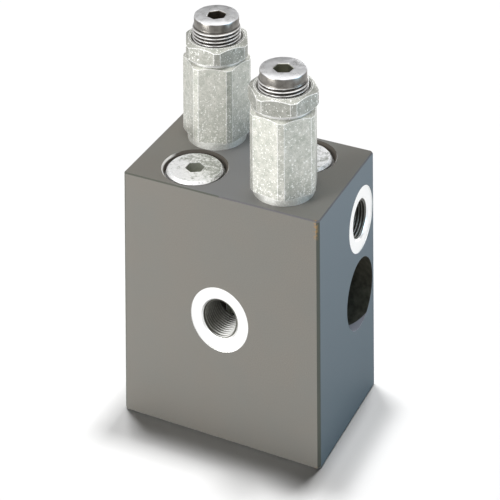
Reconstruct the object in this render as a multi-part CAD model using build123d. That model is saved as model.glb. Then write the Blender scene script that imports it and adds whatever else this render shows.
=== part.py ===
import os
from math import radians, tan

from build123d import *

# Double counterbalance valve: a steel block with two adjustable relief cartridges and two
# check valves under sunk plugs. Millimetres, +Z up, origin in the middle of the block's base.
# The layout repeats under a half turn about Z: a "front" set and a "rear" set.

# Clearances, and how far a cut reaches past the face it starts from
overcut = 1.0
thread_clearance = 0.05
running_clearance = 0.05
seal_clearance = 0.03
seat_gap = 0.08

# Cartridge cavity and the depths of its zones below the block's top face
cartridge_thread_radius = 15.0
cartridge_thread_length = 14.5
sleeve_radius = 12.45
sleeve_length = 35.0
nose_radius = 10.95
nose_length = 42.0
nose_chamfer = 1.0
cylinder_depth = 29.5
nose_floor_gap = 4.0
thread_runout = 1.0
zone_wall = 1.0

# Plug and check valve cavity
plug_thread_radius = 18.0
plug_thread_length = 14.0
plug_mouth_radius = 19.2
check_chamber_radius = 14.0
check_seat_radius = 8.0
check_seat_depth = 38.0

# Layout of the cavities: cartridges and plugs stand in two rows, one set turned half round
cavity_wall = 3.75
cartridge_column = 29.75
plug_column = 25.5
plug_edge_wall = 2.425
side_wall = 30.25

# Smooth mounting bore, right through along X, close to the rear face
mounting_bore_radius = 18.75
mounting_bore_height = 64.4
mounting_bore_wall = 3.5
cavity_floor_wall = 5.85
corner_chamfer = 1.5
rim_chamfer = 0.6

# Threaded ports: 1/2 inch for supply and cylinders, 1/4 inch for the pilot line
port_thread_radius = 10.48
port_thread_depth = 18.0
port_drill_radius = 7.5
port_spot_radius = 17.6
port_spot_depth = 0.4
port_mouth_chamfer = 0.9
cylinder_port_row = 20.3
supply_port_height = 66.3
supply_port_thread_depth = 22.0
pilot_port_radius = 6.58
pilot_port_depth = 12.0
pilot_spot_radius = 10.0

# Drilled galleries and the expander plugs that close their ends
supply_gallery_radius = 3.2
supply_floor_step = 2.5
supply_link_radius = 3.8
supply_riser_radius = 4.5
cylinder_gallery_radius = 4.5
pilot_gallery_radius = 2.5
pilot_drill_radius = 3.0
drill_point = 6.0
gallery_plug_radius = 6.0
gallery_plug_length = 6.5
gallery_plug_recess = 0.5

# Cartridge body above the block
collar_radius = 17.2
collar_height = 4.2
hexagon_flats = 36.0
hexagon_corner_radius = 19.8
hexagon_end_radius = 19.3
body_height = 47.7
top_land_radius = 17.3
chamfer_slope = radians(30)
spring_chamber_radius = 12.5
spring_chamber_floor = 1.0

# Adjusting screw, its seal washer and lock nut
screw_radius = 14.2
screw_band_radius = 13.25
screw_band_height = 4.7
screw_length = 43.0
screw_lowest_top = 65.0
screw_rise_limit = 7.0
screw_groove_height = 2.5
screw_shoulder_gap = 0.5
screw_edge_chamfer = 0.6
washer_thickness = 0.8
washer_radius = 17.0
washer_clearance = 0.25
nut_height = 10.3
nut_land_radius = 16.6
nut_countersink_radius = 15.5
socket_flats = 10.0
socket_depth = 8.0

# Relief piston, spring and seats
piston_radius = 7.45
pilot_land_radius = 8.45
pilot_land_depth = 15.5
relief_seat_radius = 5.0
relief_seat_depth = 32.0
piston_waist_radius = 5.5
piston_head_radius = 6.5
piston_head_land = 1.2
piston_nose_width = 2.0
piston_nose_slope = 1.2
spring_wire_radius = 1.6
spring_outer_radius = 11.0
spring_turns = 3.6
spring_seat_radius = 11.8
spring_seat_thickness = 3.0
spring_seat_lift = 1.0
spring_boss_height = 2.5
spring_boss_gap = 0.8

# Check valve
plug_face_radius = 16.3
plug_face_height = 3.0
plug_face_chamfer = 1.3
plug_sink = 0.1
plug_socket_depth = 7.0
plug_guide_radius = 12.0
check_stem_length = 16.0
check_stem_wall = 2.1
check_head_radius = 10.0
check_head_land = 2.0
check_nose_width = 3.0
check_floor = 1.0
check_lift = 5.0
check_stop_gap = 1.0
check_spring_wire_radius = 0.6
check_spring_turns = 6.0
check_spring_clearance = 0.25

# Seals
seal_section = 2.4
backup_ring_width = 1.2
cross_hole_radius = 2.2
pilot_hole_radius = 1.4
cross_hole_count = 4
collecting_groove_depth = 1.0

# How far each adjusting screw is set above its lowest place
screw_rise = {"front": 3.0, "rear": 6.0}

# The angle of one flat's normal from +X: the hexagons stop where their threads bring them
body_flat_angle = {"front": 20.0, "rear": 48.0}
nut_flat_angle = {"front": 41.0, "rear": 27.0}
screw_flat_angle = {"front": -5.0, "rear": 12.0}
plug_flat_angle = {"front": 0.0, "rear": 20.0}

# Places worked out from the sizes above
cavity_depth = nose_length + nose_floor_gap
supply_depth = cavity_depth - supply_floor_step
cavity_row = (cartridge_thread_radius + plug_thread_radius + cavity_wall) / 2
block_width = 2 * (cartridge_column + side_wall)
block_depth = 2 * (cavity_row + plug_mouth_radius + plug_edge_wall)
block_height = mounting_bore_height + mounting_bore_radius + cavity_floor_wall + cavity_depth
mounting_bore_row = block_depth / 2 - mounting_bore_wall - mounting_bore_radius
cylinder_height = block_height - cylinder_depth
supply_height = block_height - supply_depth
pilot_depth = cartridge_thread_length + thread_runout + pilot_gallery_radius + zone_wall
pilot_height = block_height - pilot_depth
pilot_step_depth = pilot_depth - zone_wall
pilot_port_column = (
    plug_column - plug_thread_radius + cartridge_thread_radius - cartridge_column
) / 2
nut_base = body_height + washer_thickness
screw_groove_top = screw_groove_height + seal_section
spring_chamber_top = (
    screw_lowest_top - screw_length + screw_groove_top + screw_rise_limit + running_clearance
)
screw_skirt_length = spring_chamber_top + screw_shoulder_gap - screw_lowest_top + screw_length
lower_seat_top = spring_chamber_floor + spring_seat_lift + spring_seat_thickness
spring_boss_radius = spring_outer_radius - 2 * spring_wire_radius - spring_boss_gap
piston_seal_floor = pilot_land_radius - seal_section
screw_skirt_radius = spring_chamber_radius - running_clearance
plug_thread_end = -plug_sink - plug_face_height - plug_thread_length
plug_seal_floor = check_chamber_radius + thread_runout - seal_section
check_seat_level = seat_gap - check_seat_depth
check_neck = check_seat_level + check_head_radius - check_seat_radius
check_head_top = check_neck + check_head_land
check_stem_radius = check_seat_radius - running_clearance
check_stem_top = check_head_top + check_stem_length
check_guide_end = check_head_top + check_lift + check_stop_gap
check_guide_top = check_stem_top + check_lift + check_stop_gap
cartridge_place = {
    "front": (cartridge_column, -cavity_row),
    "rear": (-cartridge_column, cavity_row),
}
plug_place = {"front": (-plug_column, -cavity_row), "rear": (plug_column, cavity_row)}


def rod(radius, bottom, top):
    """Cylinder about Z between two heights."""
    lower, upper = min(bottom, top), max(bottom, top)
    return Pos(0, 0, lower) * Cylinder(
        radius, upper - lower, align=(Align.CENTER, Align.CENTER, Align.MIN)
    )


def turned(*outline):
    """Solid of revolution about Z from the (radius, height) corners of its half section."""
    section = make_face(Plane.XZ * Polyline(*outline, close=True))
    return revolve(section, Axis.Z)


def tube(inner, outer, bottom, top):
    return rod(outer, bottom, top) - rod(inner, bottom, top)


def hexagon(flats, bottom, top, flat_angle):
    """Hexagonal prism with one flat's normal at flat_angle degrees from +X."""
    outline = RegularPolygon(flats / 2, 6, major_radius=False, rotation=flat_angle - 30)
    return extrude(Pos(0, 0, bottom) * outline, top - bottom)


def drilling(radius, start, end):
    """Cylinder from one point to another."""
    start, end = Vector(*start), Vector(*end)
    length = (end - start).length
    return Plane(origin=start, z_dir=end - start) * Cylinder(
        radius, length, align=(Align.CENTER, Align.CENTER, Align.MIN)
    )


def seal_ring(inner, bottom, section=seal_section):
    """Ring of round section that fills a groove's width and stands clear of its walls."""
    centre = Pos(inner + section / 2, bottom + section / 2)
    return revolve(Plane.XZ * centre * Circle(section / 2 - seal_clearance), Axis.Z)


def seal_groove(inner, outer, bottom, width=seal_section):
    return tube(inner, outer, bottom, bottom + width)


def coil(mean_radius, wire_radius, turns, bottom, top):
    """Compression spring whose end coils are ground flat at both heights."""
    grind = wire_radius / 2
    first, last = bottom + wire_radius - grind, top - wire_radius + grind
    path = Helix((last - first) / turns, last - first, mean_radius)
    wire = sweep(Plane(path @ 0, z_dir=path % 0) * Circle(wire_radius), path, is_frenet=True)
    return (Pos(0, 0, first) * wire) & rod(mean_radius + 2 * wire_radius, bottom, top)


def port(thread_radius, thread_depth, spot_radius, drill_radius, drill_depth):
    """Threaded port cut down -Z from z = 0: spot face, mouth chamfer, thread and drill."""
    floor = -port_spot_depth
    mouth = thread_radius + port_mouth_chamfer
    return turned(
        (0, overcut),
        (spot_radius, overcut),
        (spot_radius, floor),
        (mouth, floor),
        (thread_radius, floor - port_mouth_chamfer),
        (thread_radius, -thread_depth),
        (drill_radius, -thread_depth),
        (drill_radius, -drill_depth),
        (0, -drill_depth),
    )


def cartridge_cavity():
    """Stepped cavity, cut down from the block's top face."""
    step = cartridge_thread_length + thread_runout
    sleeve_end = sleeve_length - thread_runout
    thread = cartridge_thread_radius + thread_clearance
    sleeve = sleeve_radius + running_clearance
    nose = nose_radius + running_clearance
    return turned(
        (0, overcut),
        (thread, overcut),
        (thread, -step),
        (sleeve, -step),
        (sleeve, -sleeve_end - thread_runout),
        (nose, -sleeve_end - 2 * thread_runout),
        (nose, -cavity_depth),
        (0, -cavity_depth),
    )


def plug_cavity():
    """Countersunk threaded mouth, check valve chamber, seat edge and supply chamber."""
    thread = plug_thread_radius + thread_clearance
    rim = plug_mouth_radius - plug_thread_radius
    step = plug_face_height + plug_thread_length + thread_runout
    return turned(
        (0, overcut),
        (plug_mouth_radius, overcut),
        (plug_mouth_radius, 0),
        (thread, -rim),
        (thread, -step),
        (check_chamber_radius, -step),
        (check_chamber_radius, -check_seat_depth),
        (check_seat_radius, -check_seat_depth),
        (check_seat_radius, -cavity_depth),
        (0, -cavity_depth),
    )


def gallery_ends():
    """Each gallery that is drilled from a face: radius, the open end and the blind end."""
    left, rear = -block_width / 2, block_depth / 2
    between = (cartridge_column + plug_column) / 2
    front, back = -cavity_row, cavity_row
    riser_tops = {
        cartridge_column: supply_height,
        0: supply_height + drill_point,
        -plug_column: supply_height,
    }
    risers = [
        (supply_riser_radius, (column, front, 0), (column, front, top))
        for column, top in riser_tops.items()
    ]
    return risers + [
        (
            supply_gallery_radius,
            (left, front, supply_port_height),
            (cartridge_column + drill_point, front, supply_port_height),
        ),
        (supply_gallery_radius, (left, back, supply_height), (plug_column, back, supply_height)),
        (supply_link_radius, (0, rear, supply_height), (0, front - drill_point, supply_height)),
    ] + [
        (cylinder_gallery_radius, (column, rear, cylinder_height), (column, front, cylinder_height))
        for column in (between, -between)
    ]


def gallery_plug_places():
    """Start and end of each expander plug, just inside the face that its gallery opens on."""
    places = []
    for _, opening, blind in gallery_ends():
        opening, inward = Vector(*opening), (Vector(*blind) - Vector(*opening)).normalized()
        start = opening + inward * gallery_plug_recess
        places.append((opening, start, start + inward * gallery_plug_length))
    return places


def manifold_block():
    body = Box(
        block_width, block_depth, block_height, align=(Align.CENTER, Align.CENTER, Align.MIN)
    )
    upright = body.edges().filter_by(Axis.Z)
    body = chamfer(upright, corner_chamfer)
    rims = body.faces().filter_by(Axis.Z).edges()
    body = chamfer(rims, rim_chamfer)
    half_width, half_depth = block_width / 2, block_depth / 2

    body -= drilling(
        mounting_bore_radius,
        (-block_width, mounting_bore_row, mounting_bore_height),
        (block_width, mounting_bore_row, mounting_bore_height),
    )
    for x, y in cartridge_place.values():
        body -= Pos(x, y, block_height) * cartridge_cavity()
    for x, y in plug_place.values():
        body -= Pos(x, y, block_height) * plug_cavity()

    supply_drill = half_depth - cavity_row + supply_riser_radius + zone_wall
    supply = port(
        port_thread_radius, supply_port_thread_depth, port_spot_radius, port_drill_radius, supply_drill
    )
    body -= Pos(0, -half_depth, supply_port_height) * Rot(X=90) * supply
    cylinder = port(
        port_thread_radius,
        port_thread_depth,
        port_spot_radius,
        port_drill_radius,
        half_width - plug_column,
    )
    body -= Pos(half_width, cylinder_port_row, cylinder_height) * Rot(Y=90) * cylinder
    body -= Pos(-half_width, -cylinder_port_row, cylinder_height) * Rot(Y=-90) * cylinder

    pilot = port(
        pilot_port_radius,
        pilot_port_depth,
        pilot_spot_radius,
        pilot_drill_radius,
        half_depth + drill_point / 2,
    )
    body -= Pos(pilot_port_column, half_depth, pilot_height) * Rot(X=-90) * pilot
    body -= drilling(
        pilot_gallery_radius,
        (*cartridge_place["front"], pilot_height),
        (*cartridge_place["rear"], pilot_height),
    )

    for radius, opening, blind in gallery_ends():
        body -= drilling(radius, opening, blind)
    for opening, _, end in gallery_plug_places():
        body -= drilling(gallery_plug_radius + seal_clearance, opening, end)
    return body


def gallery_plugs():
    """Expander plugs as one group of separate solids."""
    return Compound(
        [drilling(gallery_plug_radius, start, end) for _, start, end in gallery_plug_places()]
    )


def chamfered_hexagon(bottom, top, lower_radius, upper_radius, flat_angle):
    """Hexagon whose corners are turned off and whose two ends are chamfered to round lands."""
    slope = tan(chamfer_slope)
    envelope = turned(
        (0, bottom),
        (lower_radius, bottom),
        (hexagon_corner_radius, bottom + (hexagon_corner_radius - lower_radius) * slope),
        (hexagon_corner_radius, top - (hexagon_corner_radius - upper_radius) * slope),
        (upper_radius, top),
        (0, top),
    )
    return hexagon(hexagon_flats, bottom, top, flat_angle) & envelope


def sleeve_grooves():
    """Bottom height and floor radius of the sleeve's and the nose's seal grooves."""
    pilot_edge = pilot_depth + pilot_gallery_radius
    cylinder_edge = cylinder_depth - cylinder_gallery_radius
    upper = -(pilot_edge + cylinder_edge + seal_section) / 2
    shoulder = sleeve_length + thread_runout
    supply_edge = supply_depth - supply_gallery_radius
    lower = -(shoulder + supply_edge + seal_section + backup_ring_width) / 2
    return (upper, sleeve_radius - seal_section), (lower, nose_radius - seal_section)


def cartridge_body(name):
    collar_groove = cartridge_thread_radius - seal_section
    (sleeve_groove, sleeve_floor), (nose_groove, nose_floor) = sleeve_grooves()
    body = chamfered_hexagon(
        collar_height, body_height, hexagon_end_radius, top_land_radius, body_flat_angle[name]
    )
    body += turned(
        (0, -nose_length),
        (nose_radius - nose_chamfer, -nose_length),
        (nose_radius, nose_chamfer - nose_length),
        (nose_radius, -sleeve_length - thread_runout),
        (sleeve_radius, -sleeve_length),
        (sleeve_radius, -cartridge_thread_length),
        (cartridge_thread_radius, -cartridge_thread_length),
        (cartridge_thread_radius, 0),
        (collar_radius, 0),
        (collar_radius, collar_height),
        (0, collar_height),
    )
    body -= seal_groove(collar_groove, cartridge_thread_radius + overcut, -seal_section)
    body -= seal_groove(sleeve_floor, sleeve_radius + overcut, sleeve_groove)
    backup = backup_ring_width + seal_section
    body -= seal_groove(nose_floor, nose_radius + overcut, nose_groove, backup)

    # Stepped bore from the top: screw thread, spring chamber, pilot land, piston and seat
    piston_bore = piston_radius + running_clearance
    pilot_bore = pilot_land_radius + running_clearance
    screw_bore = screw_radius + thread_clearance
    body -= turned(
        (0, -nose_length - overcut),
        (piston_bore, -nose_length - overcut),
        (piston_bore, -pilot_step_depth),
        (pilot_bore, -pilot_step_depth),
        (pilot_bore, spring_chamber_floor),
        (spring_chamber_radius, spring_chamber_floor),
        (spring_chamber_radius, spring_chamber_top),
        (screw_bore, spring_chamber_top),
        (screw_bore, body_height + overcut),
        (0, body_height + overcut),
    )
    for depth, hole, groove_width in (
        (cylinder_depth, cross_hole_radius, 2 * cross_hole_radius),
        (pilot_depth, pilot_hole_radius, 2 * pilot_hole_radius),
    ):
        body -= seal_groove(
            sleeve_radius - collecting_groove_depth,
            sleeve_radius + overcut,
            -depth - groove_width / 2,
            groove_width,
        )
        for turn in range(cross_hole_count):
            aim = Rot(Z=360 / cross_hole_count * turn)
            body -= aim * drilling(hole, (0, 0, -depth), (sleeve_radius, 0, -depth))
    return body


def lock_nut(name):
    top = nut_base + nut_height
    nut = chamfered_hexagon(nut_base, top, washer_radius, nut_land_radius, nut_flat_angle[name])
    bore = screw_radius + thread_clearance
    countersink = nut_countersink_radius - bore
    return nut - turned(
        (0, nut_base - overcut),
        (bore, nut_base - overcut),
        (bore, top - countersink),
        (nut_countersink_radius, top),
        (nut_countersink_radius, top + overcut),
        (0, top + overcut),
    )


def seal_washer():
    return tube(screw_radius + washer_clearance, washer_radius, body_height, nut_base)


def screw_base(name):
    return screw_lowest_top + screw_rise[name] - screw_length


def adjusting_screw(name):
    """Sealed skirt, thread, plain band and hexagon socket, at the height it is set to."""
    base = screw_base(name)
    shoulder = base + screw_skirt_length
    top = base + screw_length
    band = top - screw_band_height
    screw = turned(
        (0, base),
        (screw_skirt_radius, base),
        (screw_skirt_radius, shoulder),
        (screw_radius, shoulder),
        (screw_radius, band),
        (screw_band_radius, band + screw_edge_chamfer),
        (screw_band_radius, top - screw_edge_chamfer),
        (screw_band_radius - screw_edge_chamfer, top),
        (0, top),
    )
    floor = screw_skirt_radius - seal_section
    screw -= seal_groove(floor, screw_skirt_radius + overcut, base + screw_groove_height)
    return screw - hexagon(socket_flats, top - socket_depth, top + overcut, screw_flat_angle[name])


def upper_spring_seat(name):
    top = screw_base(name)
    bottom = top - spring_seat_thickness
    disc = rod(spring_seat_radius, bottom, top)
    return disc + rod(spring_boss_radius, bottom - spring_boss_height, bottom)


def lower_spring_seat():
    disc = rod(spring_seat_radius, lower_seat_top - spring_seat_thickness, lower_seat_top)
    return disc + rod(spring_boss_radius, lower_seat_top, lower_seat_top + spring_boss_height)


def main_spring(name):
    return coil(
        spring_outer_radius - spring_wire_radius,
        spring_wire_radius,
        spring_turns,
        lower_seat_top + seat_gap,
        screw_base(name) - spring_seat_thickness - seat_gap,
    )


def relief_piston():
    """Poppet nose, waist, lower land and pilot land, with the land's seal groove."""
    top = lower_seat_top - spring_seat_thickness
    seat_level = seat_gap - relief_seat_depth
    tip = seat_level - piston_nose_width * piston_nose_slope
    head = seat_level + (piston_head_radius - relief_seat_radius) * piston_nose_slope
    waist_top = 2 * cross_hole_radius + zone_wall - cylinder_depth
    land_top = -pilot_depth - pilot_hole_radius
    piston = turned(
        (0, tip),
        (relief_seat_radius - piston_nose_width, tip),
        (piston_head_radius, head),
        (piston_waist_radius, head + piston_head_land),
        (piston_waist_radius, waist_top),
        (piston_radius, waist_top),
        (piston_radius, land_top),
        (piston_waist_radius, land_top),
        (piston_waist_radius, -pilot_land_depth),
        (pilot_land_radius, -pilot_land_depth),
        (pilot_land_radius, top),
        (0, top),
    )
    return piston - seal_groove(piston_seal_floor, pilot_land_radius + overcut, -pilot_land_depth / 2)


def check_plug(name):
    """Threaded plug with a sunk hexagon socket and a guide skirt for the poppet."""
    top = -plug_sink
    shoulder = top - plug_face_height
    plug = turned(
        (0, top),
        (plug_face_radius - plug_face_chamfer, top),
        (plug_face_radius, top - plug_face_chamfer),
        (plug_face_radius, shoulder),
        (plug_thread_radius, shoulder - (plug_thread_radius - plug_face_radius)),
        (plug_thread_radius, plug_thread_end + seal_section),
        (plug_seal_floor, plug_thread_end + seal_section),
        (plug_seal_floor, plug_thread_end),
        (plug_guide_radius, plug_thread_end),
        (plug_guide_radius, check_guide_end),
        (0, check_guide_end),
    )
    plug -= rod(check_seat_radius, check_guide_end - overcut, check_guide_top)
    return plug - hexagon(socket_flats, top - plug_socket_depth, top + overcut, plug_flat_angle[name])


def check_poppet():
    """Hollow poppet: a cone on the seat edge below, a stem guided in the plug above."""
    tip = check_seat_level - check_nose_width
    poppet = turned(
        (0, tip),
        (check_seat_radius - check_nose_width, tip),
        (check_head_radius, check_neck),
        (check_head_radius, check_head_top),
        (check_stem_radius, check_head_top),
        (check_stem_radius, check_stem_top),
        (0, check_stem_top),
    )
    hollow = check_stem_radius - check_stem_wall
    return poppet - rod(hollow, check_neck + check_floor, check_stem_top + overcut)


def check_spring():
    outer = check_stem_radius - check_stem_wall - check_spring_clearance
    return coil(
        outer - check_spring_wire_radius,
        check_spring_wire_radius,
        check_spring_turns,
        check_neck + check_floor + seat_gap,
        check_guide_top - seat_gap,
    )


def cartridge_parts(name):
    """Every piece of one cartridge, from its own seat plane at z = 0."""
    (sleeve_groove, sleeve_floor), (nose_groove, nose_floor) = sleeve_grooves()
    backup_bottom = nose_groove + seal_section
    return {
        "cartridge_body": cartridge_body(name),
        "lock_nut": lock_nut(name),
        "nut_seal_washer": seal_washer(),
        "adjusting_screw": adjusting_screw(name),
        "adjuster_seal": seal_ring(
            screw_skirt_radius - seal_section, screw_base(name) + screw_groove_height
        ),
        "upper_spring_seat": upper_spring_seat(name),
        "main_spring": main_spring(name),
        "lower_spring_seat": lower_spring_seat(),
        "relief_piston": relief_piston(),
        "piston_seal": seal_ring(piston_seal_floor, -pilot_land_depth / 2),
        "relief_seat": tube(relief_seat_radius, piston_radius, -nose_length, -relief_seat_depth),
        "collar_seal": seal_ring(cartridge_thread_radius - seal_section, -seal_section),
        "sleeve_seal": seal_ring(sleeve_floor, sleeve_groove),
        "nose_seal": seal_ring(nose_floor, nose_groove),
        "nose_backup_ring": tube(
            nose_floor + seal_clearance,
            nose_radius - seal_clearance,
            backup_bottom + seal_clearance,
            backup_bottom + backup_ring_width - seal_clearance,
        ),
    }


def check_parts(name):
    """Every piece of one check valve, from the block's top face at z = 0."""
    return {
        "check_plug": check_plug(name),
        "plug_seal": seal_ring(plug_seal_floor, plug_thread_end),
        "check_poppet": check_poppet(),
        "check_spring": check_spring(),
    }


nodes = {"manifold_block": manifold_block(), "gallery_plugs": gallery_plugs()}
for side in ("front", "rear"):
    for parts, place in ((cartridge_parts(side), cartridge_place), (check_parts(side), plug_place)):
        for part_name, shape in parts.items():
            nodes[f"{part_name}_{side}"] = Pos(*place[side], block_height) * shape

os.makedirs("parts", exist_ok=True)
for node, shape in nodes.items():
    export_step(shape, f"parts/{node}.step")
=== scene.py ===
import math
from collections import namedtuple

import bpy
from mathutils import Matrix, Vector

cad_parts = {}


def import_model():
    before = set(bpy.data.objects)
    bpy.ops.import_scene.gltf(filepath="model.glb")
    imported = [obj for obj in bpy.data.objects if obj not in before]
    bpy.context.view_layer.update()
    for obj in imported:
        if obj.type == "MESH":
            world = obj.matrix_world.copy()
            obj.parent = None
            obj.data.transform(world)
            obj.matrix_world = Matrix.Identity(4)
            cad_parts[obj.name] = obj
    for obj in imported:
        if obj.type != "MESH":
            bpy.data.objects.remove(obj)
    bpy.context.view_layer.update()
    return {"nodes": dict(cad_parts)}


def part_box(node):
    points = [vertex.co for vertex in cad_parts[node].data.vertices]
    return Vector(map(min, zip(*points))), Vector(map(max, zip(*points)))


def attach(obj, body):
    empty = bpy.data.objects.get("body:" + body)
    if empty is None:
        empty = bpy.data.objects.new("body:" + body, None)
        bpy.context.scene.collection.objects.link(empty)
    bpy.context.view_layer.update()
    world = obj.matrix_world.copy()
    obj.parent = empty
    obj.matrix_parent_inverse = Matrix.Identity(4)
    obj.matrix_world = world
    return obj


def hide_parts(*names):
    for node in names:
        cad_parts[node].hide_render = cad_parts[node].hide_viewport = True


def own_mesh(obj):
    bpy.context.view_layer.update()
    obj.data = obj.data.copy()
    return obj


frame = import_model()
nodes = frame["nodes"]

MM = 0.001
SIDES = ("front", "rear")

# The block stands on z = 0 with its middle at x = y = 0. Places in metres.
TOP = 0.135
HALF_WIDTH, HALF_DEPTH = 0.060, 0.040
CAVITY_ROW = 0.018375
CARTRIDGE = {"front": (0.02975, -CAVITY_ROW), "rear": (-0.02975, CAVITY_ROW)}
PLUG = {"front": (-0.0255, -CAVITY_ROW), "rear": (0.0255, CAVITY_ROW)}
BORE_ROW, BORE_HEIGHT, BORE_RADIUS = 0.01775, 0.0644, 0.01875
SUPPLY_HEIGHT = 0.0663
CYLINDER_ROW, CYLINDER_HEIGHT = 0.0203, 0.1055
PILOT_COLUMN, PILOT_HEIGHT = -0.003625, 0.116

# Threaded ports: axis, the way out along it, and the axis's place on the other two axes.
# Then in mm: radii of spot face, mouth and thread, and the thread's pitch and end depth.
Port = namedtuple("Port", "name axis side first second spot mouth major pitch end")
HALF_INCH = {"spot": 17.6, "mouth": 11.5, "major": 10.48, "pitch": 1.814}
QUARTER_INCH = {"spot": 10.0, "mouth": 7.5, "major": 6.58, "pitch": 1.337}
PORTS = (
    Port("supply", "Y", -1, 0.0, SUPPLY_HEIGHT, end=21.9, **HALF_INCH),
    Port("right", "X", 1, CYLINDER_ROW, CYLINDER_HEIGHT, end=17.9, **HALF_INCH),
    Port("left", "X", -1, -CYLINDER_ROW, CYLINDER_HEIGHT, end=17.9, **HALF_INCH),
    Port("pilot", "Y", 1, PILOT_COLUMN, PILOT_HEIGHT, end=11.9, **QUARTER_INCH),
)
PORT_THREAD_START = 1.3 * MM

SCREW_PITCH = 2.0 * MM
SCREW_RADIUS = 14.2 * MM
SCREW_BAND_RADIUS = 13.25 * MM
SCREW_BAND_HEIGHT = 4.7 * MM
SCREW_SKIRT_RADIUS = 12.45 * MM
SCREW_SKIRT_HEIGHT = 12.5 * MM
SCREW_GROOVE = 2.5 * MM
SEAL_SECTION = 2.4 * MM
SOCKET_FLATS = 10.0 * MM
SOCKET_DEPTH = 8.0 * MM
SOCKET_CONE = 1.2 * MM
SOCKET_ANGLE = {"front": -5.0, "rear": 12.0}


class Graph:
    """A material's node tree, with short calls for the nodes that the surfaces below share."""

    def __init__(self, name):
        self.material = bpy.data.materials.new(name)
        self.material.use_nodes = True
        self.tree = self.material.node_tree
        self.tree.nodes.clear()
        out = self.tree.nodes.new("ShaderNodeOutputMaterial")
        self.bsdf = self.tree.nodes.new("ShaderNodeBsdfPrincipled")
        self.tree.links.new(self.bsdf.outputs[0], out.inputs[0])
        self.place = self.tree.nodes.new("ShaderNodeTexCoord").outputs["Object"]
        self.x, self.y, self.z = self.split(self.place)

    def node(self, kind, *values, **settings):
        new = self.tree.nodes.new(kind)
        for key, value in settings.items():
            setattr(new, key, value)
        for socket, value in zip(new.inputs, values):
            self.put(socket, value)
        return new

    def put(self, socket, value):
        if isinstance(value, bpy.types.NodeSocket):
            self.tree.links.new(value, socket)
        elif value is not None:
            socket.default_value = value

    def math(self, operation, *values):
        return self.node("ShaderNodeMath", *values, operation=operation).outputs[0]

    def split(self, vector):
        return self.node("ShaderNodeSeparateXYZ", vector).outputs

    def facing(self):
        return self.node("ShaderNodeNewGeometry").outputs["Normal"]

    def noise(self, size, detail, roughness=0.55, stretch=(1, 1, 1)):
        """Noise from 0 to 1 whose cells are about size metres across."""
        scaled = self.node("ShaderNodeVectorMath", self.place, stretch, operation="MULTIPLY")
        new = self.node("ShaderNodeTexNoise")
        self.put(new.inputs["Vector"], scaled.outputs[0])
        new.inputs["Scale"].default_value = 1 / size
        new.inputs["Detail"].default_value = detail
        new.inputs["Roughness"].default_value = roughness
        return new.outputs["Fac"]

    def ramp(self, value, *stops):
        """Colours, or grey levels, at given positions along value."""
        new = self.node("ShaderNodeValToRGB", value)
        points = new.color_ramp.elements
        while len(points) < len(stops):
            points.new(0.5)
        for point, (position, level) in zip(points, stops):
            point.position = position
            colour = (level,) * 3 if isinstance(level, (int, float)) else level
            point.color = (*colour, 1)
        return new.outputs[0]

    def mix(self, factor, a, b):
        """Colour a where factor is 0 and b where it is 1."""
        new = self.node("ShaderNodeMix", data_type="RGBA")
        self.put(new.inputs["Factor"], factor)
        for name, value in (("A", a), ("B", b)):
            socket = [s for s in new.inputs if s.name == name and s.type == "RGBA"][0]
            self.put(socket, (*value, 1) if isinstance(value, tuple) else value)
        return [s for s in new.outputs if s.type == "RGBA"][0]

    def blend(self, factor, a, b):
        """Number a where factor is 0 and b where it is 1."""
        new = self.node("ShaderNodeMix", data_type="FLOAT")
        self.put(new.inputs["Factor"], factor)
        floats = [s for s in new.inputs if s.type == "VALUE"]
        self.put(floats[1], a)
        self.put(floats[2], b)
        return [s for s in new.outputs if s.type == "VALUE"][0]

    def within(self, value, limit, soft=0.0001):
        """1 where value is below limit, with an edge that is soft on both sides of it."""
        new = self.node("ShaderNodeMapRange", value, limit - soft, limit + soft, 1.0, 0.0)
        return new.outputs[0]

    def over(self, value, limit, soft=0.0001):
        """1 where value is above limit, with an edge that is soft on both sides of it."""
        return self.math("SUBTRACT", 1.0, self.within(value, limit, soft))

    def radius(self, axis, first, second):
        """Distance from a line along axis through (first, second) on the other two axes."""
        others = [part for name, part in zip("XYZ", (self.x, self.y, self.z)) if name != axis]
        squares = []
        for part, centre in zip(others, (first, second)):
            offset = self.math("SUBTRACT", part, centre)
            squares.append(self.math("MULTIPLY", offset, offset))
        return self.math("SQRT", self.math("ADD", *squares))

    def every(self, *factors):
        product = factors[0]
        for factor in factors[1:]:
            product = self.math("MULTIPLY", product, factor)
        return product

    def bump(self, height, distance, strength):
        new = self.node("ShaderNodeBump")
        new.inputs["Strength"].default_value = strength
        new.inputs["Distance"].default_value = distance
        self.put(new.inputs["Height"], height)
        return new.outputs[0]

    def edge_highlight_and_wear(self):
        """1 on the sharp edges of the shape, fading out within a short reach of them. The looks
        paint these edges near white, as wear and a painted highlight.
        """
        reach, sharp, flat = 0.6 * MM, 0.972, 0.997
        rounded = self.node("ShaderNodeBevel", samples=4)
        rounded.inputs["Radius"].default_value = reach
        same = self.node(
            "ShaderNodeVectorMath", rounded.outputs[0], self.facing(), operation="DOT_PRODUCT"
        )
        edge = self.node("ShaderNodeMapRange", same.outputs["Value"], sharp, flat, 1.0, 0.0)
        return edge.outputs[0]

    def surface(self, colour, roughness, normal=None, metallic=0.0, specular=0.5):
        plain = isinstance(colour, tuple)
        self.put(self.bsdf.inputs["Base Color"], (*colour, 1) if plain else colour)
        self.put(self.bsdf.inputs["Roughness"], roughness)
        self.put(self.bsdf.inputs["Normal"], normal)
        self.put(self.bsdf.inputs["Metallic"], metallic)
        self.put(self.bsdf.inputs["Specular IOR Level"], specular)
        return self.material


# How far below a face of the block its own look reaches
SKIN = 0.3 * MM


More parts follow.
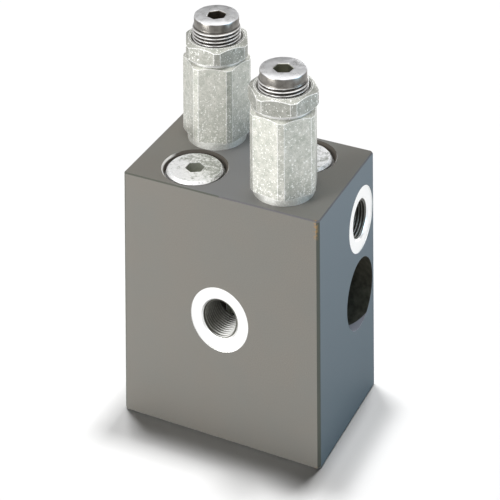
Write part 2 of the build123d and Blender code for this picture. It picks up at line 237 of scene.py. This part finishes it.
def phosphate(g, grain):
    """Brownish grey with green patches and cooler amid the top; the right face is painted blue
    as painted light, darker towards its foot as painted shade.
    """
    dark, pale = (0.180, 0.170, 0.150), (0.245, 0.232, 0.208)
    greenish, cool = (0.195, 0.197, 0.182), (0.20, 0.215, 0.245)
    shaded_blue_foot, lit_blue_head = (0.120, 0.156, 0.178), (0.178, 0.205, 0.221)
    colour = g.ramp(grain, (0.25, dark), (0.8, pale))
    patches = g.ramp(g.noise(30 * MM, 3), (0.35, 0.0), (0.7, 0.5))
    colour = g.mix(patches, colour, greenish)
    amid = g.within(g.math("ABSOLUTE", g.x), 22 * MM, soft=16 * MM)
    amid = g.every(amid, g.over(g.z, TOP - SKIN))
    colour = g.mix(g.math("MULTIPLY", amid, 0.4), colour, cool)
    # Painted light and shade: the right face is painted blue, lighter at its head and darker
    # towards its foot.
    right = g.over(g.x, HALF_WIDTH - SKIN)
    painted_blue_light = g.ramp(g.math("DIVIDE", g.z, TOP), (0.0, shaded_blue_foot), (1.0, lit_blue_head))
    return g.mix(right, colour, painted_blue_light)


def block_chamfers(g, colour):
    """Chamfers, where no one axis carries the normal, painted dark as painted shade. The upper
    right ones are painted lighter as painted light, and the lower rim bright as a painted
    highlight.
    """
    dark, lit_chamfer_grey, highlight_and_wear = (0.085, 0.092, 0.075), (0.150, 0.145, 0.150), (0.34, 0.34, 0.32)
    upper_width, lower_width = 0.9 * MM, 0.8 * MM
    sizes = [g.math("ABSOLUTE", part) for part in g.split(g.facing())]
    largest = g.math("MAXIMUM", g.math("MAXIMUM", sizes[0], sizes[1]), sizes[2])
    chamfer = g.within(largest, 0.86, soft=0.02)
    # Painted shade: the chamfers painted dark.
    colour = g.mix(g.math("MULTIPLY", chamfer, 0.85), colour, dark)
    # Painted light: the top chamfers on the right half painted lighter.
    lit_upper_right = g.every(chamfer, g.over(g.z, TOP - upper_width), g.over(g.x, 0.0))
    colour = g.mix(lit_upper_right, colour, lit_chamfer_grey)
    # Painted highlight: the lower rim painted bright.
    lower = g.every(chamfer, g.within(g.z, lower_width, soft=0.2 * MM))
    return g.mix(lower, colour, highlight_and_wear)


def corner_rust(g, colour):
    """A little rust at both ends of the front right edge."""
    upper_start, lower_end = 0.126, 1.2 * MM
    edge = g.radius("Z", HALF_WIDTH - 2 * MM, -HALF_DEPTH)
    edge = g.within(edge, 1.3 * MM, soft=0.5 * MM)
    upper = g.over(g.z, upper_start, soft=0.002)
    lower = g.within(g.z, lower_end, soft=0.4 * MM)
    blotches = g.ramp(g.noise(1.8 * MM, 4), (0.48, 0.0), (0.56, 0.8))
    rust = g.every(edge, g.math("MAXIMUM", upper, lower), blotches)
    return g.mix(rust, colour, (0.36, 0.22, 0.09))


def cross_bore(g, colour):
    """Painted shade inside, dark with an oily mottle; low down in its mouths a painted light, up
    to a slanting painted shadow line.
    """
    dark, pale, plain = (0.038, 0.037, 0.028), (0.086, 0.084, 0.066), (0.42, 0.41, 0.45)
    wall = g.radius("X", BORE_ROW, BORE_HEIGHT)
    wall = g.within(wall, BORE_RADIUS + 0.08 * MM, soft=0.03 * MM)
    # Painted shade: the bore's wall painted near black, mottled.
    painted_shade_mottle = g.ramp(g.noise(3 * MM, 4), (0.3, dark), (0.75, pale))
    depth = g.math("SUBTRACT", HALF_WIDTH, g.math("ABSOLUTE", g.x))
    # Painted light: low in the mouths the wall is painted pale, up to a slanting painted shadow
    # line.
    shadow_line = g.math("ADD", depth, g.math("MULTIPLY", g.y, 0.53))
    mouth = g.within(shadow_line, 14.4 * MM, soft=0.3 * MM)
    low = g.within(g.z, BORE_HEIGHT - 12 * MM, soft=2 * MM)
    return g.mix(wall, colour, g.mix(g.every(mouth, low), painted_shade_mottle, plain))


def port_faces(g, colour):
    """Dull drillings. Returns the colour, and where spot faces and mouth chamfers are bright."""
    edge, face_start, mouth_end, reach = 0.05 * MM, 0.2 * MM, 1.25 * MM, 50 * MM
    bright = 0.0
    for port in PORTS:
        away = g.radius(port.axis, port.first, port.second)
        face, along = (HALF_WIDTH, g.x) if port.axis == "X" else (HALF_DEPTH, g.y)
        depth = g.math("SUBTRACT", face, g.math("MULTIPLY", along, port.side))
        near = g.within(depth, reach)
        spot = g.within(away, (port.spot + 0.05) * MM, edge)
        faced = g.every(
            spot, near, g.over(depth, face_start, edge), g.within(depth, mouth_end, edge)
        )
        mouth = g.within(away, port.mouth * MM, edge)
        drilled = g.every(mouth, near, g.over(depth, mouth_end, edge))
        colour = g.mix(drilled, colour, (0.44, 0.45, 0.38))
        bright = g.math("MAXIMUM", bright, faced)
    return colour, bright


def plug_mouths(g, colour):
    """Countersinks painted dark as painted shade. Returns the colour, and where the lip's front
    and the left side get a painted highlight.
    """
    mouth_radius, lip_radius, highlight_radius = 19.25 * MM, 18.95 * MM, 18.3 * MM
    slant = 0.5
    lip_highlight = 0.0
    for px, py in PLUG.values():
        away = g.radius("Z", px, py)
        below_top = g.within(g.z, TOP - 0.03 * MM, soft=0.02 * MM)
        cone = g.every(g.within(away, mouth_radius, soft=0.04 * MM), below_top)
        # Painted shade: the countersink cones painted near black.
        colour = g.mix(cone, colour, (0.10, 0.088, 0.075))
        # Painted highlight: the front part of the lip and the left side of the cone.
        lip = g.over(away, lip_radius, soft=0.05 * MM)
        lip = g.every(lip, g.within(g.y, py + 8 * MM, soft=4 * MM))
        left = g.math("ADD", g.x, g.math("MULTIPLY", g.y, slant))
        left = g.within(left, px + slant * py - 14 * MM, soft=2 * MM)
        left = g.every(left, g.over(away, highlight_radius, soft=0.15 * MM))
        painted_bright = g.every(cone, g.math("MAXIMUM", lip, left))
        lip_highlight = g.math("MAXIMUM", lip_highlight, painted_bright)
    return colour, lip_highlight


def cavity_mouths(g, colour):
    """Cavity walls under the cartridges' collars, painted near black as painted shade."""
    cavity_radius = 15.2 * MM
    for cx, cy in CARTRIDGE.values():
        inside = g.within(g.radius("Z", cx, cy), cavity_radius, soft=0.04 * MM)
        hole = g.every(inside, g.within(g.z, TOP - SKIN, soft=0.1 * MM))
        # Painted shade: the cavity walls painted near black.
        colour = g.mix(hole, colour, (0.05, 0.05, 0.045))
    return colour


def block_steel():
    """Phosphated bar steel with bright spot faces and dull port drillings; its bores,
    countersinks and chamfers carry painted shade and painted light.
    """
    g = Graph("block_steel")
    grain = g.noise(0.5 * MM, 4)
    colour = phosphate(g, grain)
    colour = block_chamfers(g, colour)
    colour = corner_rust(g, colour)
    colour = cross_bore(g, colour)
    colour, bright = port_faces(g, colour)
    colour, lip_highlight = plug_mouths(g, colour)
    colour = cavity_mouths(g, colour)
    # Painted highlight on the countersinks' lips and left sides, near white.
    colour = g.mix(lip_highlight, colour, (0.93, 0.92, 0.90))
    colour = g.mix(bright, colour, (0.93, 0.93, 0.92))
    rough = g.blend(bright, g.ramp(grain, (0.2, 0.42), (0.8, 0.6)), 0.38)
    normal = g.bump(grain, 0.02 * MM, 0.6)
    return g.surface(colour, rough, normal, metallic=g.blend(bright, 0.0, 0.9), specular=0.08)


def zinc(name, light):
    """Zinc plating: mottled grey with pale specks and dark pits, edges painted near white as
    wear and painted highlight, and more specks near the base and a pale collar as painted light.

    Light is the share of the full brightness that the mottled grey has.
    """
    g = Graph(name)
    dull, clear = (0.40, 0.415, 0.365), (0.66, 0.65, 0.60)
    pale, dirt = (0.90, 0.90, 0.87), (0.17, 0.175, 0.14)
    highlight_and_wear, collar_painted_light = (0.95, 0.95, 0.94), (0.88, 0.88, 0.85)
    cloud = g.noise(4 * MM, 7, 0.78)
    speck = g.noise(1.1 * MM, 3, 0.6)
    grit = g.noise(0.5 * MM, 2)
    dull, clear = tuple(light * c for c in dull), tuple(light * c for c in clear)
    colour = g.ramp(cloud, (0.34, dull), (0.66, clear))
    height = g.math("SUBTRACT", g.z, TOP)
    # Speck texture, and painted light: more pale specks towards the base, where it lies in
    # shade.
    painted_light_near_base = g.ramp(g.math("DIVIDE", height, 30 * MM), (0.0, 0.055), (1.0, 0.0))
    specks = g.ramp(g.math("ADD", speck, painted_light_near_base), (0.60, 0.0), (0.65, 0.9))
    colour = g.mix(specks, colour, pale)
    colour = g.mix(g.ramp(grit, (0.28, 0.7), (0.38, 0.0)), colour, dirt)
    # Wear and painted highlight: edges painted near white.
    colour = g.mix(g.edge_highlight_and_wear(), colour, highlight_and_wear)
    # Painted light: the collar painted pale, where it lies in shade under the hexagon.
    collar = g.math("MULTIPLY", g.within(height, 4.3 * MM, soft=0.1 * MM), 0.6)
    colour = g.mix(collar, colour, collar_painted_light)
    rough = g.ramp(speck, (0.3, 0.44), (0.75, 0.58))
    normal = g.bump(g.math("ADD", speck, grit), 0.04 * MM, 0.6)
    return g.surface(colour, rough, normal, metallic=0.95)


def turned_steel(name, colour, smooth, coarse):
    """Machined steel, its roughness between smooth and coarse."""
    g = Graph(name)
    cloud = g.noise(5 * MM, 4)
    fine = g.noise(0.6 * MM, 3)
    dim = tuple(0.82 * c for c in colour)
    shade = g.mix(g.ramp(cloud, (0.35, 0.0), (0.68, 1.0)), dim, colour)
    shade = g.mix(g.ramp(fine, (0.6, 0.0), (0.78, 0.4)), shade, (0.75, 0.75, 0.74))
    return g.surface(shade, g.ramp(cloud, (0.3, smooth), (0.7, coarse)), metallic=0.9)


def screw_steel(side):
    """Ground top face, flanks painted darker as a painted reflection of a dark surround, thread
    crests and roots painted lighter and darker as painted light and shade with dirt, and a
    socket painted dark as painted shade.
    """
    g = Graph(f"screw_steel_{side}")
    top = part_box(f"adjusting_screw_{side}")[1][2]
    flank_dark, flank_pale = (0.14, 0.131, 0.118), (0.25, 0.237, 0.218)
    ground_dark, ground_pale = (0.50, 0.50, 0.50), (0.66, 0.66, 0.67)
    crest_highlight, root_shade_and_dirt = (0.68, 0.67, 0.66), (0.06, 0.055, 0.05)
    painted_recess_shade = {"front": (0.34, 0.34, 0.28), "rear": (0.16, 0.14, 0.115)}
    crest_radius, root_radius, socket_radius = 13.75 * MM, 13.2 * MM, 6.3 * MM
    away = g.radius("Z", *CARTRIDGE[side])
    cloud = g.noise(4 * MM, 4)
    # Painted reflection: the flanks painted dark, as if they reflected a dark surround.
    colour = g.ramp(cloud, (0.35, flank_dark), (0.7, flank_pale))
    ground = g.over(g.z, top - 0.5 * MM, soft=0.2 * MM)
    colour = g.mix(ground, colour, g.ramp(cloud, (0.3, ground_dark), (0.7, ground_pale)))
    thread = g.within(g.z, top - 5.0 * MM)
    crest = g.every(thread, g.over(away, crest_radius, soft=0.2 * MM))
    root = g.every(thread, g.within(away, root_radius, soft=0.2 * MM))
    # Painted highlight on the thread's crests; painted shade, with dirt, in its roots.
    colour = g.mix(crest, colour, crest_highlight)
    colour = g.mix(root, colour, root_shade_and_dirt)
    below_top = g.within(g.z, top - 0.25 * MM, soft=0.05 * MM)
    socket = g.every(g.within(away, socket_radius), below_top)
    # Painted shade: the socket painted dark; the front one lighter, as a painted reflection of
    # the lit floor.
    colour = g.mix(socket, colour, painted_recess_shade[side])
    grind_pitch = 0.35 * MM
    rings = g.math("SINE", g.math("MULTIPLY", away, 2 * math.pi / grind_pitch))
    normal = g.bump(rings, 0.006 * MM, 0.5)
    rough = g.blend(
        ground, g.ramp(cloud, (0.3, 0.26), (0.7, 0.38)), g.ramp(cloud, (0.3, 0.24), (0.7, 0.38))
    )
    return g.surface(colour, rough, normal, metallic=0.92)


def plug_steel():
    """Plated plugs: bright, with edges painted near white as wear and painted highlight; the
    front one darker towards the rear right.
    """
    g = Graph("plug_steel")
    bright, dark_grey = (0.78, 0.78, 0.78), (0.32, 0.33, 0.30)
    pale, dull, scored = (0.88, 0.88, 0.88), (0.28, 0.29, 0.26), (0.90, 0.90, 0.90)
    rust_brown, highlight_and_wear = (0.45, 0.27, 0.14), (0.93, 0.93, 0.93)
    socket_dark, socket_pale = (0.36, 0.37, 0.32), (0.50, 0.51, 0.45)
    socket_reach = 9 * MM
    side = g.math("SIGN", g.x)
    across = g.math("SUBTRACT", g.x, g.math("MULTIPLY", side, PLUG["rear"][0]))
    along = g.math("SUBTRACT", g.y, g.math("MULTIPLY", side, CAVITY_ROW))
    slope = g.math("ADD", g.math("MULTIPLY", across, 6.0), g.math("MULTIPLY", along, 9.0))
    # The front plug grows darker towards the rear right.
    slope = g.math("MULTIPLY", slope, g.within(g.x, 0.0, soft=1 * MM))
    cloud = g.noise(5 * MM, 6, 0.72)
    speck = g.noise(1.3 * MM, 4, 0.6)
    scratch = g.noise(1.4 * MM, 3, 0.6, stretch=(0.35, 1.6, 1))
    colour = g.ramp(g.math("ADD", cloud, slope), (0.46, bright), (0.60, dark_grey))
    colour = g.mix(g.ramp(speck, (0.54, 0.0), (0.62, 0.8)), colour, pale)
    colour = g.mix(g.ramp(speck, (0.34, 0.5), (0.42, 0.0)), colour, dull)
    colour = g.mix(g.ramp(scratch, (0.62, 0.0), (0.66, 0.8)), colour, scored)
    rust = g.ramp(g.noise(3.1 * MM, 4, 0.7), (0.66, 0.0), (0.76, 0.55))
    colour = g.mix(rust, colour, rust_brown)
    # Wear and painted highlight: edges painted near white.
    colour = g.mix(g.edge_highlight_and_wear(), colour, highlight_and_wear)
    middles = [g.within(g.radius("Z", *place), socket_reach) for place in PLUG.values()]
    below_top = g.within(g.z, TOP - 0.5 * MM, soft=0.2 * MM)
    socket = g.every(below_top, g.math("MAXIMUM", *middles))
    colour = g.mix(socket, colour, g.ramp(cloud, (0.35, socket_dark), (0.65, socket_pale)))
    rough = g.ramp(speck, (0.3, 0.35), (0.75, 0.55))
    return g.surface(colour, rough, g.bump(speck, 0.03 * MM, 0.5), metallic=0.7)


def dark_thread():
    """Thread inside a port: painted dark in its roots as painted shade, greyer on its crests and
    near white where it faces up and left, as painted light.
    """
    g = Graph("dark_thread")
    painted_recess_shade, painted_bright = (0.045, 0.043, 0.034), (0.95, 0.95, 0.93)
    dark, grey = (0.10, 0.10, 0.085), (0.18, 0.18, 0.16)
    mottle = g.noise(1.5 * MM, 3)
    crest = g.node("ShaderNodeAttribute", attribute_name="crest").outputs["Fac"]
    turn = g.split(g.facing())
    up, right = g.math("MULTIPLY", turn[2], 0.9), g.math("MULTIPLY", turn[0], 0.4)
    # Painted light: faces turned up and to the left are painted near white.
    lit_side = g.ramp(g.math("SUBTRACT", up, right), (0.42, 0.0), (0.74, 1.0))
    metal = g.ramp(mottle, (0.3, dark), (0.7, grey))
    metal = g.mix(lit_side, metal, painted_bright)
    width = g.math("SUBTRACT", g.math("ADD", crest, g.math("MULTIPLY", lit_side, 0.35)), 0.25)
    # Painted shade in the roots, painted light on the crests, from the crest value.
    colour = g.mix(g.ramp(width, (0.0, 0.0), (0.5, 1.0)), painted_recess_shade, metal)
    rough = g.ramp(mottle, (0.3, 0.34), (0.7, 0.5))
    return g.surface(colour, rough, metallic=g.blend(lit_side, 0.6, 0.1))


def mottled(name, size, dark, pale, smooth, coarse):
    """Rubber or plastic, a little uneven in colour and gloss."""
    g = Graph(name)
    mottle = g.noise(size, 3)
    colour = g.ramp(mottle, (0.3, dark), (0.7, pale))
    return g.surface(colour, g.ramp(mottle, (0.3, smooth), (0.7, coarse)))


def paint(name, material):
    slots = nodes[name].data.materials
    slots.clear()
    slots.append(material)


screw_metal = {side: screw_steel(side) for side in SIDES}
inner_steel = turned_steel("inner_steel", (0.42, 0.42, 0.42), 0.22, 0.36)
washer_steel = turned_steel("washer_steel", (0.74, 0.74, 0.73), 0.25, 0.4)
zinc_body = zinc("zinc_body", 1.0)
zinc_nut = zinc("zinc_nut", 0.68)
plug_metal = plug_steel()
thread_metal = dark_thread()
rubber = mottled(
    "seal_rubber", 1.2 * MM, (0.018, 0.018, 0.018), (0.035, 0.035, 0.034), 0.45, 0.6
)
plastic = mottled("backup_plastic", 2 * MM, (0.72, 0.70, 0.64), (0.80, 0.78, 0.72), 0.45, 0.55)

paint("manifold_block", block_steel())
paint("gallery_plugs", inner_steel)
looks = {
    "cartridge_body": zinc_body,
    "lock_nut": zinc_nut,
    "nut_seal_washer": washer_steel,
    "upper_spring_seat": inner_steel,
    "main_spring": inner_steel,
    "lower_spring_seat": inner_steel,
    "relief_piston": inner_steel,
    "relief_seat": inner_steel,
    "check_plug": plug_metal,
    "check_poppet": inner_steel,
    "check_spring": inner_steel,
    "adjuster_seal": rubber,
    "piston_seal": rubber,
    "collar_seal": rubber,
    "sleeve_seal": rubber,
    "nose_seal": rubber,
    "plug_seal": rubber,
    "nose_backup_ring": plastic,
}
for side in SIDES:
    for part, material in looks.items():
        paint(f"{part}_{side}", material)


def mesh_object(name, points, faces, material, body, smooth_angle, crest=None):
    """New piece on a body, with sharp edges where faces meet at more than smooth_angle degrees.

    Crest holds each point's height on a thread, from 0 at the root to 1 at the crest.
    """
    mesh = bpy.data.meshes.new(name)
    mesh.from_pydata(points, [], faces)
    if crest:
        mesh.attributes.new("crest", "FLOAT", "POINT").data.foreach_set("value", crest)
    mesh.validate()
    mesh.polygons.foreach_set("use_smooth", [True] * len(mesh.polygons))
    mesh.set_sharp_from_angle(angle=math.radians(smooth_angle))
    mesh.materials.append(material)
    obj = bpy.data.objects.new(name, mesh)
    bpy.context.scene.collection.objects.link(obj)
    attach(obj, body)
    return obj


def thread_profile(phase):
    """Height of a truncated V thread from 0 at the root to 1 at the crest, over one pitch."""
    flat, slope = 0.14, 0.72
    up = abs((phase % 1.0) * 2 - 1)
    return min(1.0, max(0.0, (up - flat) / slope))


def lathe_rows(rows, count):
    """Faces of a grid of rings, row after row, with count points to a ring."""
    faces = []
    for row in range(rows - 1):
        for k in range(count):
            a, b = row * count + k, row * count + (k + 1) % count
            faces.append((a, b, b + count, a + count))
    return faces


def port_frame(port):
    """Frame at the middle of a port's mouth whose +Z points out of the block."""
    if port.axis == "X":
        axis, place = (port.side, 0, 0), (port.side * HALF_WIDTH, port.first, port.second)
    else:
        axis, place = (0, port.side, 0), (port.first, port.side * HALF_DEPTH, port.second)
    turn = Vector(axis).to_track_quat("Z", "Y").to_matrix().to_4x4()
    return Matrix.Translation(place) @ turn


def port_thread(port):
    """Internal thread as a closed ribbed sleeve against the port's wall."""
    count, per_pitch = 96, 10
    lead_in, run_out, end_crest = 0.3, 0.9, 0.6
    pitch, start, end = port.pitch * MM, PORT_THREAD_START, port.end * MM
    wall = port.major * MM - 0.02 * MM
    root = wall - 0.05 * MM
    crest = port.major * MM - 0.64 * pitch
    rows = int((end - start) / pitch * per_pitch) + 1
    points, heights = [], []
    for row in range(rows):
        depth = start + (end - start) * row / (rows - 1)
        fade = min(1.0, (depth - start) / (lead_in * pitch), (end - depth) / (run_out * pitch))
        for k in range(count):
            angle = 2 * math.pi * k / count
            ridge = thread_profile(depth / pitch - k / count) * fade
            radius = root - (root - crest) * ridge
            points.append((radius * math.cos(angle), radius * math.sin(angle), -depth))
            # The crest value sets the thread's painted light; near both ends it is held up, so
            # they are painted lighter.
            heights.append(max(ridge, end_crest * (1 - fade)))
    faces = lathe_rows(rows, count)

    # The sleeve's back, against the wall
    back = len(points)
    for depth in (end, start):
        for k in range(count):
            angle = 2 * math.pi * k / count
            points.append((wall * math.cos(angle), wall * math.sin(angle), -depth))
            heights.append(0.0)
    last = (rows - 1) * count
    for k in range(count):
        n = (k + 1) % count
        faces.append((last + k, last + n, back + n, back + k))
        faces.append((back + k, back + n, back + count + n, back + count + k))
        faces.append((back + count + k, back + count + n, n, k))
    matrix = port_frame(port)
    placed = [matrix @ Vector(point) for point in points]
    name = f"{port.name}_port_thread"
    thread = mesh_object(
        name, placed, faces, thread_metal, "manifold", smooth_angle=60, crest=heights
    )


def screw_rings(base, top, count):
    """The screw's outside from the underside up: rings of count (height, radius) pairs."""
    band = top - SCREW_BAND_HEIGHT
    shoulder = base + SCREW_SKIRT_HEIGHT
    groove_top = base + SCREW_GROOVE + SEAL_SECTION
    groove_floor = SCREW_SKIRT_RADIUS - SEAL_SECTION
    bevel = 0.3 * MM
    skirt = (
        (base, 3.0 * MM),
        (base, SCREW_SKIRT_RADIUS - bevel),
        (base + bevel, SCREW_SKIRT_RADIUS),
        (base + SCREW_GROOVE, SCREW_SKIRT_RADIUS),
        (base + SCREW_GROOVE, groove_floor),
        (groove_top, groove_floor),
        (groove_top, SCREW_SKIRT_RADIUS),
        (shoulder, SCREW_SKIRT_RADIUS),
    )
    head = (
        (band + 0.25 * MM, SCREW_BAND_RADIUS),
        (top - 0.7 * MM, SCREW_BAND_RADIUS),
        (top - 0.25 * MM, SCREW_BAND_RADIUS - 0.18 * MM),
        (top, SCREW_BAND_RADIUS - 0.65 * MM),
    )
    per_pitch, run_out = 12, 0.6
    root = SCREW_RADIUS - 0.62 * SCREW_PITCH
    steps = int((band - shoulder) / SCREW_PITCH * per_pitch)
    thread = []
    for step in range(steps + 1):
        height = shoulder + (band - shoulder) * step / steps
        fade = min(1.0, (band - height) / (run_out * SCREW_PITCH))
        ring = []
        for k in range(count):
            ridge = thread_profile(height / SCREW_PITCH - k / count)
            crest = root + (SCREW_RADIUS - root) * ridge
            ring.append((height, SCREW_BAND_RADIUS * (1 - fade) + crest * fade))
        thread.append(ring)
    return [[pair] * count for pair in skirt] + thread + [[pair] * count for pair in head]


def hexagon_radius(angle, flats, flat_angle):
    """Distance from a hexagon's middle to its side in a direction, in degrees."""
    off = (angle - flat_angle + 30) % 60 - 30
    return flats / 2 / math.cos(math.radians(off))


def adjusting_screw(side):
    """Screw with a helical thread, a plain band, a broken edge and a hexagon socket."""
    cx, cy = CARTRIDGE[side]
    low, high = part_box(f"adjusting_screw_{side}")
    base, top = low[2], high[2]
    count = 120
    points = []
    for ring in screw_rings(base, top, count):
        for k, (height, radius) in enumerate(ring):
            angle = 2 * math.pi * k / count
            points.append((cx + radius * math.cos(angle), cy + radius * math.sin(angle), height))

    # Socket: a small entry chamfer, six walls and a drilled cone at the bottom
    chamfer = 0.5 * MM
    for height, grow in ((top, chamfer), (top - chamfer, 0.0), (top - SOCKET_DEPTH, 0.0)):
        for k in range(count):
            angle = 360 * k / count
            radius = hexagon_radius(angle, SOCKET_FLATS, SOCKET_ANGLE[side]) + grow
            turn = math.radians(angle)
            points.append((cx + radius * math.cos(turn), cy + radius * math.sin(turn), height))
    rows = len(points) // count
    faces = lathe_rows(rows, count)
    last, socket_tip, underside = (rows - 1) * count, rows * count, rows * count + 1
    points.append((cx, cy, top - SOCKET_DEPTH - SOCKET_CONE))
    points.append((cx, cy, base))
    for k in range(count):
        n = (k + 1) % count
        faces.append((last + k, last + n, socket_tip))
        faces.append((n, k, underside))
    name = f"threaded_screw_{side}"
    screw = mesh_object(
        name, points, faces, screw_metal[side], f"adjuster_{side}", smooth_angle=35
    )
    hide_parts(f"adjusting_screw_{side}")


def compressed_spring(part, body, side):
    """The coil as built, on a mesh of its own, moving with the body."""
    node = nodes[f"{part}_{side}"]
    coil = bpy.data.objects.new(f"{part}_coil_{side}", node.data.copy())
    coil.matrix_world = node.matrix_world
    bpy.context.scene.collection.objects.link(coil)
    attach(coil, f"{body}_{side}")
    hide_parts(f"{part}_{side}")
    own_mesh(coil)


for port in PORTS:
    port_thread(port)
for side in SIDES:
    adjusting_screw(side)
    compressed_spring("main_spring", "relief", side)
    compressed_spring("check_spring", "check", side)


# What a lamp lights: the object without the floor, or the floor alone
object_only = bpy.data.collections.new("object_only")
floor_only = bpy.data.collections.new("floor_only")


def floor():
    """Plain white floor. Its two lamps light nothing else, so the object's shadow stays deep."""
    reach = 12.0
    corners = [(-reach, -reach, 0), (reach, -reach, 0), (reach, reach, 0), (-reach, reach, 0)]
    mesh = bpy.data.meshes.new("floor")
    mesh.from_pydata(corners, [], [(0, 1, 2, 3)])
    obj = bpy.data.objects.new("floor", mesh)
    bpy.context.scene.collection.objects.link(obj)
    mesh.materials.append(Graph("floor_paint").surface((0.75, 0.75, 0.75), 0.9, specular=0.0))
    floor_only.objects.link(obj)
    object_only.objects.link(obj)
    object_only.collection_objects[0].light_linking.link_state = "EXCLUDE"


def lamp(name, azimuth, elevation, distance, size, level, colour=(1, 1, 1), lights=object_only):
    """Soft rectangular lamp aimed at the object, on the side that the two angles give.

    Angles are in degrees, azimuth from +X; distance and size are in metres. A surface that
    faces a lamp of level 1 shows its own colour.
    """
    aim = Vector((0, 0, 0.10))
    data = bpy.data.lights.new(name, "AREA")
    data.shape = "RECTANGLE"
    data.size, data.size_y = size
    data.energy = level * (math.pi * distance) ** 2
    data.color = colour
    obj = bpy.data.objects.new(name, data)
    bpy.context.scene.collection.objects.link(obj)
    a, e = math.radians(azimuth), math.radians(elevation)
    away = Vector((math.cos(a) * math.cos(e), math.sin(a) * math.cos(e), math.sin(e)))
    obj.location = aim + away * distance
    obj.rotation_euler = away.to_track_quat("Z", "Y").to_euler()
    obj.light_linking.receiver_collection = lights


def world():
    """Soft surround, brightest above the front left and dim opposite.

    Diffuse surfaces get only a small share of it, so it serves as something to reflect.
    """
    brightest, spread, dim, diffuse_share = (-0.30, -0.50, 0.81), 0.7, 0.12, 0.03
    new = bpy.data.worlds.new("studio")
    bpy.context.scene.world = new
    new.use_nodes = True
    tree = new.node_tree
    background = tree.nodes["Background"]
    background.inputs[0].default_value = (1, 1, 1, 1)
    direction = tree.nodes.new("ShaderNodeTexCoord").outputs["Generated"]
    side = tree.nodes.new("ShaderNodeVectorMath")
    side.operation = "DOT_PRODUCT"
    tree.links.new(direction, side.inputs[0])
    side.inputs[1].default_value = brightest
    level = tree.nodes.new("ShaderNodeMapRange")
    level.inputs["From Min"].default_value = -spread
    level.inputs["From Max"].default_value = spread
    level.inputs["To Min"].default_value = dim
    level.inputs["To Max"].default_value = 1.0
    tree.links.new(side.outputs["Value"], level.inputs["Value"])
    diffuse = tree.nodes.new("ShaderNodeLightPath").outputs["Is Diffuse Ray"]
    share = tree.nodes.new("ShaderNodeMapRange")
    share.inputs["To Min"].default_value = 1.0
    share.inputs["To Max"].default_value = diffuse_share
    tree.links.new(diffuse, share.inputs["Value"])
    strength = tree.nodes.new("ShaderNodeMath")
    strength.operation = "MULTIPLY"
    tree.links.new(level.outputs[0], strength.inputs[0])
    tree.links.new(share.outputs[0], strength.inputs[1])
    tree.links.new(strength.outputs[0], background.inputs[1])


def camera():
    """The photograph keeps upright edges parallel, as a view camera with its back upright does.

    The camera's axes are sheared the same way: right and up lie in the upright picture plane,
    and back runs along the line of sight. Place, direction and sizes are the real ones.
    """
    right = Vector((0.90413, 0.42722, -0.00607))
    up = Vector((-0.00276, 0.02004, 0.99980))
    back = Vector((0.37355, -0.77819, 0.50486))
    matrix = Matrix.Identity(4)
    for column, axis in enumerate((right, up, back)):
        for row in range(3):
            matrix[row][column] = axis[row]
    matrix.translation = Vector((0.46274, -0.96435, 0.70958))
    data = bpy.data.cameras.new("photo_camera")
    data.sensor_width = 36
    data.lens = 156.586
    standard = bpy.data.objects.new("camera_standard", None)
    bpy.context.scene.collection.objects.link(standard)
    obj = bpy.data.objects.new("photo_camera", data)
    bpy.context.scene.collection.objects.link(obj)
    obj.parent = standard
    obj.matrix_parent_inverse = matrix
    bpy.context.scene.camera = obj


floor()
world()
lamp("floor_lamp_left", 140, 80, 4.0, (0.45, 0.45), 0.70, lights=floor_only)
lamp("floor_lamp_right", 84, 79.5, 4.0, (0.45, 0.45), 0.70, lights=floor_only)
lamp("top", 116, 80, 1.6, (2.0, 2.0), 0.68)
lamp("high_key", -125, 42, 1.2, (0.45, 0.45), 0.38)
lamp("key", -121, 6, 1.0, (0.46, 0.40), 0.54)
lamp("front_fill", -66, 30, 1.5, (0.5, 0.5), 0.08)
lamp("side_fill", 2, 20, 0.42, (0.20, 0.20), 0.31, (0.56, 0.80, 1.0))
lamp("back_fill", 84, 6, 1.6, (1.4, 0.4), 0.26)
camera()
bpy.context.scene.view_settings.view_transform = "Standard"
